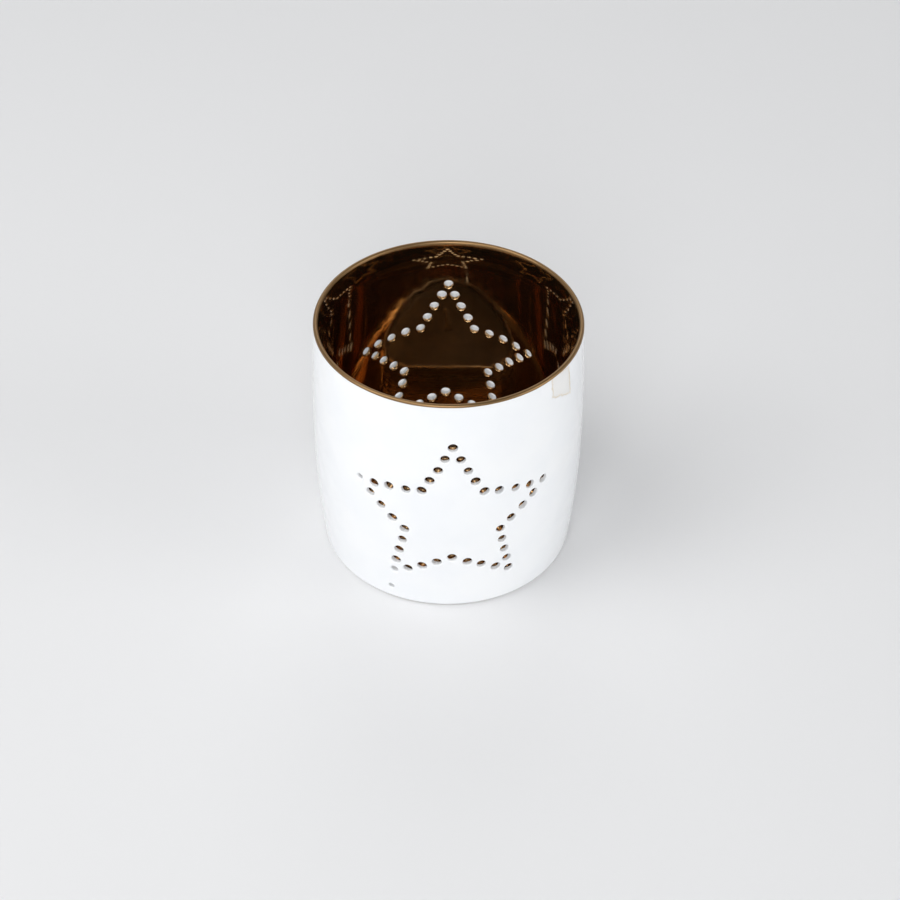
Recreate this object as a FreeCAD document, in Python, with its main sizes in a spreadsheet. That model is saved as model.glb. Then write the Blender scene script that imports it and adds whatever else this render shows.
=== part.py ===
import FreeCAD
import Part
import Sketcher

import math
import os
import re

# A perforated porcelain tealight holder: a barrel-shaped cup on a foot ring, gilt inside and
# over its thin lip, with a star of round holes punched through the front and another through the
# back, and the tealight that stands loose on its floor.
#
# Millimetres. +Z is up, the origin is on the cup's axis at the plane it stands on, and the
# middle of the front star faces -Y.

DIMENSIONS = {
    # porcelain cup: outside
    "body_height": 79.0,
    "belly_radius": 40.0,
    "belly_height": 41.6,
    "upper_arc_radius": 783.0,
    "lower_arc_radius": 313.0,
    "base_corner_radius": 1.6,
    # porcelain cup: wall, its flare to a thin lip, floor and foot ring
    "wall_thickness": 2.7,
    "lip_radius": 0.6,
    "flare_radius": 25.0,
    "floor_level": 3.4,
    "floor_corner_radius": 4.0,
    "foot_inner_radius": 33.2,
    "recess_radius": 32.2,
    "recess_depth": 1.0,
    # gilt layer
    "gilt_thickness": 0.1,
    "gilt_edge_rise": 0.1,
    # holes
    "hole_radius": 1.4,
    "stray_hole_radius": 0.9,
    "punch_overrun": 2.0,
    # star outline, wrapped on the belly: half widths are arc lengths, heights are above the base
    "tip_height": 63.9,
    "shoulder_half_width": 8.9,
    "shoulder_height": 47.2,
    "arm_half_width": 29.0,
    "arm_height": 44.4,
    "waist_half_width": 14.3,
    "waist_height": 31.2,
    "foot_half_width": 18.1,
    "foot_height": 13.1,
    "crotch_height": 21.6,
    # how the two hand-punched stars stray from that outline, in degrees but for the lean
    "front_turn": 0.0,
    "front_lean": 0.06,
    "back_turn": 1.0,
    "back_lean": 0.0,
    "back_bearing": 178.5,
    "stray_offset": 19.6,
    "stray_height": 5.2,
    # tealight can: thin aluminium with a rolled rim
    "can_radius": 18.5,
    "can_height": 15.6,
    "can_sheet": 0.2,
    "can_corner_radius": 1.2,
    "can_curl_radius": 0.5,
    "can_curl_end": 100.0,
    # wax, wick and wick sustainer
    "wax_height": 12.8,
    "wax_meniscus": 0.9,
    "wick_radius": 0.75,
    "wick_stand": 8.0,
    "wick_bend_radius": 14.0,
    "wick_bend_angle": 24.0,
    "sustainer_radius": 6.5,
    "sustainer_sheet": 0.3,
    "sustainer_neck_radius": 1.15,
    "sustainer_neck_height": 3.2,
    "sustainer_bend_radius": 0.5,
}

HOLES_PER_EDGE = 4
START, END, CENTRE = 1, 2, 3
ORIGIN, VERTICAL_AXIS = (-1, 1), -2

doc = FreeCAD.newDocument("tealight_holder")


# ---------------------------------------------------------------- dimensions


def make_sheet():
    """The spreadsheet of driving dimensions, one aliased cell each."""
    cells = doc.addObject("Spreadsheet::Sheet", "dims")
    for row, (alias, value) in enumerate(DIMENSIONS.items(), start=1):
        cells.set(f"A{row}", alias)
        cells.set(f"B{row}", str(value))
        cells.setAlias(f"B{row}", alias)
    doc.recompute()
    return cells


sheet = make_sheet()


def dim(alias):
    """A driving dimension's value, read from the sheet."""
    return float(sheet.get(alias))


def bound(words):
    """The expression for words such as 'body_height - wall_thickness', its names tied to the sheet."""
    return re.sub(r"[a-z]+(_[a-z]+)+", r"dims.\g<0>", words)


def worth(words):
    """The number that words such as 'body_height - wall_thickness' come to."""
    return float(sheet.evalExpression(bound(words)))


# ---------------------------------------------------------------- sketches and bodies


class Outline:
    """A sketch on a body's XZ plane, its X the distance from the axis and its Y the height."""

    def __init__(self, body, name):
        self.sketch = body.newObject("Sketcher::SketchObject", name)
        plane = next(f for f in body.Origin.OriginFeatures if f.Role == "XZ_Plane")
        self.sketch.AttachmentSupport = [(plane, "")]
        self.sketch.MapMode = "FlatFace"

    def line(self, a, b):
        return self.sketch.addGeometry(Part.LineSegment(FreeCAD.Vector(*a, 0), FreeCAD.Vector(*b, 0)), False)

    def arc(self, centre, radius, start, end):
        """An arc that runs anticlockwise from start to end, both in degrees."""
        circle = Part.Circle(FreeCAD.Vector(*centre, 0), FreeCAD.Vector(0, 0, 1), radius)
        arc = Part.ArcOfCircle(circle, math.radians(start), math.radians(end))
        return self.sketch.addGeometry(arc, False)

    def rule(self, kind, *where, size=None):
        """Adds a constraint; size is an expression in the sheet's names that drives it."""
        if size is None:
            self.sketch.addConstraint(Sketcher.Constraint(kind, *where))
            return
        index = self.sketch.addConstraint(Sketcher.Constraint(kind, *where, worth(size)))
        self.sketch.setExpression(f"Constraints[{index}]", bound(size))

    def join(self, first, second):
        """Two ends, each (piece, START or END), meet at a point."""
        self.rule("Coincident", *first, *second)

    def smooth(self, first, second):
        """Two ends meet with no corner between them."""
        self.rule("Tangent", *first, *second)

    def square(self, first, second):
        """Two ends meet at a right angle."""
        self.rule("Perpendicular", *first, *second)

    def at(self, where, x=None, y=None):
        """Fixes a point's distance from the axis, its height, or both."""
        if x is not None:
            self.rule("DistanceX", *ORIGIN, *where, size=x)
        if y is not None:
            self.rule("DistanceY", *ORIGIN, *where, size=y)

    def on_axis(self, where):
        self.rule("PointOnObject", *where, VERTICAL_AXIS)


def make_body(name):
    return doc.addObject("PartDesign::Body", name)


def revolve(body, outline, name):
    """A full turn of the outline about the body's own Z axis."""
    doc.recompute()
    feature = body.newObject("PartDesign::Revolution", name)
    feature.Profile = outline.sketch
    feature.ReferenceAxis = (outline.sketch, ["V_Axis"])
    feature.Angle = 360.0
    outline.sketch.Visibility = False
    return feature


def draw_ring(body, name, radius, level):
    """A circle round the body's Z axis; its radius and level are expressions in the sheet's names."""
    sketch = body.newObject("Sketcher::SketchObject", name)
    plane = next(f for f in body.Origin.OriginFeatures if f.Role == "XY_Plane")
    sketch.AttachmentSupport = [(plane, "")]
    sketch.MapMode = "FlatFace"
    sketch.setExpression("AttachmentOffset.Base.z", bound(level))
    circle = Part.Circle(FreeCAD.Vector(), FreeCAD.Vector(0, 0, 1), dim(radius))
    ring = sketch.addGeometry(circle, False)
    sketch.addConstraint(Sketcher.Constraint("Coincident", ring, CENTRE, *ORIGIN))
    index = sketch.addConstraint(Sketcher.Constraint("Radius", ring, dim(radius)))
    sketch.setExpression(f"Constraints[{index}]", bound(radius))
    return sketch


# ---------------------------------------------------------------- the cup's wall


def polar(centre, radius, degrees):
    """The point at that distance and angle from a centre."""
    angle = math.radians(degrees)
    return centre[0] + radius * math.cos(angle), centre[1] + radius * math.sin(angle)


def lip_angle():
    """The angle, about the upper arc's centre, at which the lip's round begins."""
    rise = dim("body_height") - dim("lip_radius") - dim("belly_height")
    return math.degrees(math.asin(rise / (dim("upper_arc_radius") - dim("lip_radius"))))


def floor_corner(inset, radius, level):
    """Centre and top angle of the round between a level face and the lower arc, moved in by inset."""
    reach = dim("lower_arc_radius") - inset - radius
    drop = level + radius - dim("belly_height")
    centre = (dim("belly_radius") - dim("lower_arc_radius") + math.sqrt(reach**2 - drop**2), level + radius)
    return centre, math.degrees(math.asin(drop / reach))


def draw_wall(outline, top, inset, radius, level=None):
    """One face of the wall, moved in from the outside by inset: floor corner, lower arc, upper arc.

    top is the upper arc's last angle. inset, the corner's radius and the level of the face that it
    meets, which is z = 0 if there is none, are words that the sheet turns into numbers. Returns the
    corner, the upper arc and the corner's foot."""
    inset_mm, bottom = worth(inset), worth(level) if level else 0.0
    belly, height = dim("belly_radius"), dim("belly_height")
    lower, upper = dim("lower_arc_radius"), dim("upper_arc_radius")
    centre, turn = floor_corner(inset_mm, worth(radius), bottom)
    bend = outline.arc(centre, worth(radius), -90, turn)
    low = outline.arc((belly - lower, height), lower - inset_mm, turn, 0)
    high = outline.arc((belly - upper, height), upper - inset_mm, 0, top)
    outline.smooth((bend, END), (low, START))
    outline.join((low, END), (high, START))
    outline.rule("Radius", bend, size=radius)
    outline.at((bend, START), y=level)
    outline.at((high, START), x=f"belly_radius - {inset}", y="belly_height")
    outline.at((low, CENTRE), x="belly_radius - lower_arc_radius", y="belly_height")
    outline.at((high, CENTRE), x="belly_radius - upper_arc_radius", y="belly_height")
    return bend, high, (centre[0], bottom)


def wall_outer_radius(height):
    """The cup's outside radius at a height above the base corner."""
    arc = dim("upper_arc_radius") if height > dim("belly_height") else dim("lower_arc_radius")
    return dim("belly_radius") - arc + math.sqrt(arc**2 - (height - dim("belly_height")) ** 2)


def wall_tilt(height):
    """How far the outside faces up or down at a height, in degrees, level at the belly."""
    arc = dim("upper_arc_radius") if height > dim("belly_height") else dim("lower_arc_radius")
    return math.degrees(math.asin((height - dim("belly_height")) / arc))


def upper_centre():
    """The centre of the upper arc."""
    return dim("belly_radius") - dim("upper_arc_radius"), dim("belly_height")


def lip_centre():
    """The centre of the lip's round, which touches the upper arc from inside."""
    return polar(upper_centre(), dim("upper_arc_radius") - dim("lip_radius"), lip_angle())


def flare():
    """The arc that thins the wall to the lip: its centre, its angle at the lip and that at the wall.

    It bulges into the hollow. It touches the wall's inner face and goes round the lip's circle."""
    (wall_x, wall_y), (lip_x, lip_y) = upper_centre(), lip_centre()
    from_wall = dim("upper_arc_radius") - dim("wall_thickness") + dim("flare_radius")
    from_lip = dim("flare_radius") - dim("lip_radius")
    apart = math.hypot(lip_x - wall_x, lip_y - wall_y)
    along = (from_wall**2 - from_lip**2 + apart**2) / (2 * apart)
    wall_angle = lip_angle() - math.degrees(math.acos(along / from_wall))
    centre = polar(upper_centre(), from_wall, wall_angle)
    lip_end = math.degrees(math.atan2(lip_y - centre[1], lip_x - centre[0]))
    return centre, lip_end, 180 + wall_angle


def draw_inside(outline, more="", less=""):
    """The cup's inside from its floor to the lip. Returns the floor corner, the flare and the foot.

    more and less are added to its sizes: ' + gilt_thickness' and ' - gilt_thickness' for a face
    that lies that much further into the hollow."""
    centre, lip_end, wall_end = flare()
    inset, radius, level = f"(wall_thickness{more})", f"(floor_corner_radius{less})", f"floor_level{more}"
    bend, wall, foot = draw_wall(outline, wall_end - 180, inset, radius, level)
    curve = outline.arc(centre, worth(f"flare_radius{more}"), lip_end, wall_end)
    outline.smooth((wall, END), (curve, END))
    outline.rule("Radius", curve, size=f"flare_radius{more}")
    return bend, curve, foot


def make_cup_blank():
    """The cast cup before punching: foot ring, floor and wall, with a fully rounded lip."""
    body = make_body("cup_blank")
    outline = Outline(body, "cup_outline")
    foot, recess, depth = dim("foot_inner_radius"), dim("recess_radius"), dim("recess_depth")
    outer_bend, outer_wall, outer_foot = draw_wall(outline, lip_angle(), "0", "base_corner_radius")
    inner_bend, inner_flare, inner_foot = draw_inside(outline)
    lip = outline.arc(lip_centre(), dim("lip_radius"), lip_angle(), flare()[1])
    ring = outline.line((foot, 0), outer_foot)
    floor = outline.line(inner_foot, (0, inner_foot[1]))
    axis = outline.line((0, inner_foot[1]), (0, depth))
    ceiling = outline.line((0, depth), (recess, depth))
    ring_side = outline.line((recess, depth), (foot, 0))
    outline.smooth((outer_wall, END), (lip, START))
    outline.smooth((inner_flare, START), (lip, END))
    outline.smooth((ring, END), (outer_bend, START))
    outline.smooth((floor, START), (inner_bend, START))
    loop = [floor, axis, ceiling, ring_side, ring]
    for first, second in zip(loop, loop[1:]):
        outline.join((first, END), (second, START))
    outline.on_axis((axis, START))
    outline.on_axis((axis, END))
    outline.rule("PointOnObject", ring, START, -1)
    outline.rule("PointOnObject", ring, END, -1)
    outline.rule("Horizontal", ceiling)
    outline.rule("Horizontal", floor)
    outline.rule("Radius", lip, size="lip_radius")
    outline.at((lip, CENTRE), y="body_height - lip_radius")
    outline.at((ceiling, END), x="recess_radius", y="recess_depth")
    outline.at((ring_side, END), x="foot_inner_radius")
    revolve(body, outline, "cup_turn")
    return body


def draw_gilt_face(outline, grown, start):
    """One face of the gilt layer, grown inwards by 0 or the gilt's thickness. Returns its floor and lip.

    It runs from the axis over the floor, up the wall and over the lip to the angle start."""
    more, less = (" + gilt_thickness", " - gilt_thickness") if grown else ("", "")
    bend, curve, foot = draw_inside(outline, more, less)
    lip = outline.arc(lip_centre(), worth(f"lip_radius{more}"), start, flare()[1])
    floor = outline.line(foot, (0, foot[1]))
    outline.smooth((curve, START), (lip, END))
    outline.rule("Radius", lip, size=f"lip_radius{more}")
    outline.smooth((floor, START), (bend, START))
    outline.on_axis((floor, END))
    outline.rule("Horizontal", floor)
    return floor, lip


def make_gilt_blank():
    """The gilt layer before punching: it lines the floor and wall, and goes over the lip."""
    body = make_body("gilt_blank")
    outline = Outline(body, "gilt_outline")
    radius, gilt, level = dim("lip_radius"), dim("gilt_thickness"), dim("floor_level")
    start = math.degrees(math.asin(dim("gilt_edge_rise") / radius))
    under, lip = draw_gilt_face(outline, False, start)
    top, top_lip = draw_gilt_face(outline, True, start)
    edge = outline.line(polar(lip_centre(), radius, start), polar(lip_centre(), radius + gilt, start))
    axis = outline.line((0, level), (0, level + gilt))
    reach = "(upper_arc_radius - lip_radius) ^ 2 - (body_height - lip_radius - belly_height) ^ 2"
    lip_x = f"belly_radius - upper_arc_radius + sqrt({reach})"
    outline.at((lip, CENTRE), x=lip_x, y="body_height - lip_radius")
    outline.at((lip, START), y="body_height - lip_radius + gilt_edge_rise")
    outline.join((lip, CENTRE), (top_lip, CENTRE))
    outline.square((edge, START), (lip, START))
    outline.join((edge, END), (top_lip, START))
    outline.join((axis, START), (under, END))
    outline.join((axis, END), (top, END))
    revolve(body, outline, "gilt_turn")
    return body


# ---------------------------------------------------------------- the punched stars


def make_punch(name, radius):
    """A round punch along Z that starts outside the wall, whose face is at z = 0, and ends inside it."""
    body = make_body(name)
    ring = draw_ring(body, f"{name}_ring", radius, "punch_overrun")
    pad = body.newObject("PartDesign::Pad", f"{name}_pad")
    pad.Profile = ring
    pad.Reversed = True
    pad.setExpression("Length", bound("wall_thickness + gilt_thickness + 2 * punch_overrun"))
    ring.Visibility = False
    return body


def star_points(turn, lean):
    """The middles of one star's holes, as (arc length, height): equal steps along its ten edges.

    turn swings the star about its middle, in degrees; lean drops its right arm and lifts its left."""
    half = [
        (0.0, "tip_height"),
        ("shoulder_half_width", "shoulder_height"),
        ("arm_half_width", "arm_height"),
        ("waist_half_width", "waist_height"),
        ("foot_half_width", "foot_height"),
        (0.0, "crotch_height"),
    ]
    right = [(dim(x) if x else 0.0, dim(y)) for x, y in half]
    corners = right + [(-x, y) for x, y in reversed(right[1:-1])]
    foot, tip, middle = dim("foot_height"), dim("tip_height"), dim("body_height") / 2
    cos, sin = math.cos(math.radians(turn)), math.sin(math.radians(turn))
    swung = []
    for x, y in corners:
        y -= lean * x * (y - foot) / (tip - foot) + middle
        swung.append((x * cos - y * sin, x * sin + y * cos + middle))
    points = []
    for (x0, y0), (x1, y1) in zip(swung, swung[1:] + swung[:1]):
        for step in range(HOLES_PER_EDGE):
            share = step / HOLES_PER_EDGE
            points.append((x0 + (x1 - x0) * share, y0 + (y1 - y0) * share))
    return points


def on_wall(offset, height, facing):
    """Placement that puts a punch square to the wall; facing is the star's direction, 0 for -Y."""
    azimuth = facing + math.degrees(offset / dim("belly_radius"))
    radius, tilt = wall_outer_radius(height), wall_tilt(height)
    spin = FreeCAD.Rotation(FreeCAD.Vector(0, 0, 1), azimuth)
    lean = FreeCAD.Rotation(FreeCAD.Vector(1, 0, 0), 90 - tilt)
    place = spin.multVec(FreeCAD.Vector(0, -radius, height))
    return FreeCAD.Placement(place, spin.multiply(lean))


def make_punches(punch, small_punch):
    """Every punch in its place: the two stars and one stray hole under the front star's left foot."""
    # Copies along a star outline fit no PartDesign pattern, so they are gathered in one shape.
    tools = []
    front = (0.0, dim("front_turn"), dim("front_lean"))
    back = (dim("back_bearing"), dim("back_turn"), dim("back_lean"))
    for facing, turn, lean in (front, back):
        for offset, height in star_points(turn, lean):
            tools.append(punch.Shape.copy().transformed(on_wall(offset, height, facing).toMatrix()))
    stray = on_wall(-dim("stray_offset"), dim("stray_height"), 0.0)
    tools.append(small_punch.Shape.copy().transformed(stray.toMatrix()))
    gathered = doc.addObject("Part::Feature", "punches")
    gathered.Shape = Part.makeCompound(tools)
    return gathered


def punched(name, blank, punches):
    """The blank with every hole cut through it."""
    cut = doc.addObject("Part::Cut", name)
    cut.Base = blank
    cut.Tool = punches
    return cut


# ---------------------------------------------------------------- the tealight


def stand_on_floor(body):
    """Lifts a piece that is drawn from z = 0 onto the cup's gilt floor."""
    body.setExpression("Placement.Base.z", bound("floor_level + gilt_thickness"))


def make_can():
    """The drawn aluminium can: flat base, rounded corner, upright wall and an outward rolled rim."""
    body = make_body("tealight_can")
    outline = Outline(body, "can_outline")
    radius, height, thick = dim("can_radius"), dim("can_height"), dim("can_sheet")
    bend, curl, stop = dim("can_corner_radius"), dim("can_curl_radius"), dim("can_curl_end")
    top = height - curl
    hub = (radius - thick + curl, top)
    outer_corner = outline.arc((radius - bend, bend), bend, -90, 0)
    inner_corner = outline.arc((radius - bend, bend), bend - thick, -90, 0)
    outer_curl = outline.arc(hub, curl, -stop, 180)
    inner_curl = outline.arc(hub, curl - thick, -stop, 180)
    outer_wall = outline.line((radius, bend), (radius, top))
    inner_wall = outline.line((radius - thick, top), (radius - thick, bend))
    under = outline.line((0, 0), (radius - bend, 0))
    floor = outline.line((radius - bend, thick), (0, thick))
    axis = outline.line((0, thick), (0, 0))
    curl_end = outline.line(polar(hub, curl - thick, -stop), polar(hub, curl, -stop))
    outline.smooth((under, END), (outer_corner, START))
    outline.smooth((outer_corner, END), (outer_wall, START))
    outline.smooth((floor, START), (inner_corner, START))
    outline.smooth((inner_corner, END), (inner_wall, END))
    outline.smooth((inner_wall, START), (outer_curl, END))
    outline.join((outer_wall, END), (inner_curl, END))
    outline.join((inner_curl, CENTRE), (outer_curl, CENTRE))
    outline.join((curl_end, START), (inner_curl, START))
    outline.square((curl_end, END), (outer_curl, START))
    outline.join((floor, END), (axis, START))
    outline.join((axis, END), (under, START))
    outline.rule("Coincident", axis, END, *ORIGIN)
    outline.on_axis((axis, START))
    outline.rule("PointOnObject", under, END, -1)
    outline.at((floor, END), y="can_sheet")
    outline.rule("Horizontal", floor)
    outline.at((outer_wall, END), x="can_radius", y="can_height - can_curl_radius")
    outline.rule("Vertical", outer_wall)
    outline.rule("Radius", outer_corner, size="can_corner_radius")
    outline.at((inner_wall, START), x="can_radius - can_sheet", y="can_height - can_curl_radius")
    outline.rule("Vertical", inner_wall)
    outline.rule("Radius", inner_corner, size="can_corner_radius - can_sheet")
    outline.rule("Radius", outer_curl, size="can_curl_radius")
    curl_x = "can_radius - can_sheet + can_curl_radius * (1 + cos(can_curl_end * 1deg))"
    outline.at((curl_end, END), x=curl_x)
    revolve(body, outline, "can_turn")
    stand_on_floor(body)
    return body


def make_sustainer():
    """The tinplate disc that holds the wick upright, with its drawn neck."""
    body = make_body("wick_sustainer")
    outline = Outline(body, "sustainer_outline")
    low, thick = dim("can_sheet"), dim("sustainer_sheet")
    disc, neck, tall = dim("sustainer_radius"), dim("sustainer_neck_radius"), dim("sustainer_neck_height")
    bore, bend = dim("wick_radius"), dim("sustainer_bend_radius")
    under = outline.line((bore, low), (disc, low))
    rim = outline.line((disc, low), (disc, low + thick))
    upper = outline.line((disc, low + thick), (neck + bend, low + thick))
    fillet = outline.arc((neck + bend, low + thick + bend), bend, 180, 270)
    outside = outline.line((neck, low + thick + bend), (neck, low + tall))
    top = outline.line((neck, low + tall), (bore, low + tall))
    inside = outline.line((bore, low + tall), (bore, low))
    pieces = [under, rim, upper]
    for first, second in zip(pieces, pieces[1:]):
        outline.join((first, END), (second, START))
    outline.smooth((upper, END), (fillet, END))
    outline.smooth((fillet, START), (outside, START))
    outline.join((outside, END), (top, START))
    outline.join((top, END), (inside, START))
    outline.join((inside, END), (under, START))
    outline.rule("Horizontal", under)
    outline.rule("Vertical", rim)
    outline.rule("Horizontal", upper)
    outline.rule("Vertical", outside)
    outline.rule("Horizontal", top)
    outline.rule("Vertical", inside)
    outline.at((under, START), x="wick_radius", y="can_sheet")
    outline.at((rim, END), x="sustainer_radius", y="can_sheet + sustainer_sheet")
    outline.at((top, START), x="sustainer_neck_radius", y="can_sheet + sustainer_neck_height")
    outline.rule("Radius", fillet, size="sustainer_bend_radius")
    revolve(body, outline, "sustainer_turn")
    stand_on_floor(body)
    return body


def make_wick():
    """The round wick: upright through the neck and the wax, then leaning over at its tip."""
    body = make_body("wick")
    foot, bend = dim("can_sheet"), dim("wick_bend_radius")
    straight_end = dim("wax_height") + dim("wick_stand") / 4
    turn = dim("wick_bend_angle")
    path = Outline(body, "wick_path")
    stem = path.line((0, foot), (0, straight_end))
    bow = path.arc((bend, straight_end), bend, 180 - turn, 180)
    path.smooth((stem, END), (bow, END))
    path.on_axis((stem, START))
    path.on_axis((stem, END))
    path.at((stem, START), y="can_sheet")
    path.at((stem, END), y="wax_height + wick_stand / 4")
    path.rule("Radius", bow, size="wick_bend_radius")
    bow_y = "wax_height + wick_stand / 4 + wick_bend_radius * sin(wick_bend_angle * 1deg)"
    path.at((bow, START), y=bow_y)
    section = draw_ring(body, "wick_section", "wick_radius", "can_sheet")
    doc.recompute()
    pipe = body.newObject("PartDesign::AdditivePipe", "wick_run")
    pipe.Profile = section
    pipe.Spine = path.sketch
    stand_on_floor(body)
    return body


def make_wax(wick, sustainer):
    """The wax fill: it creeps up the can's wall, and is cast around the wick and its sustainer."""
    body = make_body("wax_blank")
    outline = Outline(body, "wax_outline")
    thick, bend = dim("can_sheet"), dim("can_corner_radius") - dim("can_sheet")
    radius, level, creep = dim("can_radius") - thick, dim("wax_height"), dim("wax_meniscus")
    under = outline.line((0, thick), (radius - bend, thick))
    round_ = outline.arc((radius - bend, thick + bend), bend, -90, 0)
    side = outline.line((radius, thick + bend), (radius, level + creep))
    meniscus = outline.arc((radius - creep, level + creep), creep, -90, 0)
    top = outline.line((radius - creep, level), (0, level))
    axis = outline.line((0, level), (0, thick))
    outline.smooth((under, END), (round_, START))
    outline.smooth((round_, END), (side, START))
    outline.join((side, END), (meniscus, END))
    outline.smooth((meniscus, START), (top, START))
    outline.join((top, END), (axis, START))
    outline.join((axis, END), (under, START))
    outline.on_axis((axis, START))
    outline.on_axis((axis, END))
    outline.rule("Horizontal", under)
    outline.rule("Horizontal", top)
    outline.rule("Vertical", side)
    outline.at((under, START), y="can_sheet")
    outline.at((top, END), y="wax_height")
    outline.at((side, END), x="can_radius - can_sheet", y="wax_height + wax_meniscus")
    outline.rule("Radius", round_, size="can_corner_radius - can_sheet")
    outline.rule("Radius", meniscus, size="wax_meniscus")
    revolve(body, outline, "wax_turn")
    stand_on_floor(body)
    core = doc.addObject("Part::Fuse", "wick_and_sustainer")
    core.Base = wick
    core.Tool = sustainer
    wax = doc.addObject("Part::Cut", "tealight_wax")
    wax.Base = body
    wax.Tool = core
    return wax


# ---------------------------------------------------------------- assembly and output


def check(parts):
    """Stops if any object of the document failed, or a sub-part isn't a sound solid."""
    failed = [o.Name for o in doc.Objects if "Invalid" in o.State or "Error" in o.State]
    if failed:
        raise RuntimeError(f"failed objects: {failed}")
    for part in parts:
        shape = part.Shape
        if shape.isNull() or not shape.isValid() or not shape.Solids:
            raise RuntimeError(f"{part.Label} isn't a sound solid")
        print(f"{part.Label}: {len(shape.Solids)} solid, {len(shape.Faces)} faces, {shape.Volume:.1f} mm3")


def main():
    cup_blank, gilt_blank = make_cup_blank(), make_gilt_blank()
    punch, small_punch = make_punch("punch", "hole_radius"), make_punch("small_punch", "stray_hole_radius")
    doc.recompute()
    punches = make_punches(punch, small_punch)
    cup, gilt = punched("porcelain_cup", cup_blank, punches), punched("gilt_lining", gilt_blank, punches)
    can, sustainer, wick = make_can(), make_sustainer(), make_wick()
    wax = make_wax(wick, sustainer)
    doc.recompute()
    parts = [cup, gilt, can, wax, sustainer, wick]
    check(parts)
    os.makedirs("parts", exist_ok=True)
    for part in parts:
        part.Shape.exportStep(f"parts/{part.Label}.step")


main()
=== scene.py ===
"""The looks of a porcelain tealight holder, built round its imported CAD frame.

The cup is glazed porcelain with a star of punched holes on its front and another on its back. It is gilt
inside, over its thin lip and round the inner edges of the holes. A tealight stands loose on its floor.

Lengths are millimetres until they reach Blender, which has metres. Azimuths are in radians, 0 for -Y and
pi/2 for +X."""

import math
import random

import bpy
import numpy as np
from mathutils import Matrix, Vector
from mathutils.geometry import delaunay_2d_cdt


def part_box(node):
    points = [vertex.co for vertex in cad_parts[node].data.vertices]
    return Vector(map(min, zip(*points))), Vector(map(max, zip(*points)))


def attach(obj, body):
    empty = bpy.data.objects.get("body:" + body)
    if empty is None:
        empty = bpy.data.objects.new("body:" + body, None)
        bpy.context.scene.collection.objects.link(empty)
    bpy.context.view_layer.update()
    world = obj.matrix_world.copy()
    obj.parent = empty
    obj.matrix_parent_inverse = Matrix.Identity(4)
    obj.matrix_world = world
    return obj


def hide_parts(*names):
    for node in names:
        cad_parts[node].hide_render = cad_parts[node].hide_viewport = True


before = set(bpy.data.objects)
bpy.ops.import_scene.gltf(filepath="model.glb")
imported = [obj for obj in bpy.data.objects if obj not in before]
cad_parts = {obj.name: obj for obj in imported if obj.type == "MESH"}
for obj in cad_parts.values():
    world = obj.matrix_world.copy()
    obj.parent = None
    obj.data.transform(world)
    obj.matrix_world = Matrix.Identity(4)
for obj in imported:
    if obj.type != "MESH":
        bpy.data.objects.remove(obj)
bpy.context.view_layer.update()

MM = 0.001
TURN = 2 * math.pi


# ------------------------------------------------------------------ sizes


def box_mm(node):
    """A CAD node's lowest and highest corner, in millimetres."""
    low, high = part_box(node)
    return np.array(low) / MM, np.array(high) / MM


CUP_TOP = box_mm("porcelain_cup")[1][2]
BELLY_RADIUS = box_mm("porcelain_cup")[1][0]
FLOOR_LEVEL = box_mm("gilt_lining")[0][2]
GILT = box_mm("gilt_lining")[1][2] - CUP_TOP
CAN_BASE = box_mm("tealight_can")[0][2]
CAN_TOP = box_mm("tealight_can")[1][2]
WAX_BASE = box_mm("tealight_wax")[0][2]
WAX_RADIUS = box_mm("tealight_wax")[1][0]
WICK_BASE = box_mm("wick")[0][2]

# the cup's outline, as in the CAD
BELLY_HEIGHT = 41.6
UPPER_ARC = 783.0
LOWER_ARC = 313.0
WALL = 2.7
LIP_RADIUS = 0.6
FLARE_RADIUS = 25.0
BASE_CORNER = 1.6
FLOOR_CORNER = 4.0
FOOT_INNER = 33.2
RECESS_RADIUS = 32.2
RECESS_DEPTH = 1.0

# the stars: half outlines as (arc length, height), and how each strays from it, as in the CAD
STAR = [(0.0, 63.9), (8.9, 47.2), (29.0, 44.4), (14.3, 31.2), (18.1, 13.1), (0.0, 21.6)]
HOLES_PER_EDGE = 4
HOLE_RADIUS = 1.4
FRONT_LEAN = 0.06
BACK_TURN = 1.0
BACK_BEARING = 178.5
STRAY_OFFSET = -19.6
STRAY_HEIGHT = 5.2

# how the glaze rounds the holes' edges outside and inside, how far each hole strays from its mark, and
# how far the lustre reaches into it
GLAZE_ROUND = 0.38
INNER_ROUND = 0.42
DEEPEST_ROUND = 0.6
HOLE_SCATTER = 0.1
FRONT_REACH, BACK_REACH = 1.6, 1.0

# meshes: columns round the cup, rows up it below the lip's band, points round a hole and down its edge,
# the room kept clear round it, and the lustre's thin end, which is at that angle on the outside of the lip
COLUMNS = 176
ROW_STEP = 1.45
RING_POINTS = 28
EDGE_STEPS = 5
HOLE_CLEARANCE = 1.0
GUARD_RING = 0.5
FILM_EDGE = 0.03
FILM_START = -14.0
LIP_BAND = 2.0


# ------------------------------------------------------------------ meshes


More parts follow.
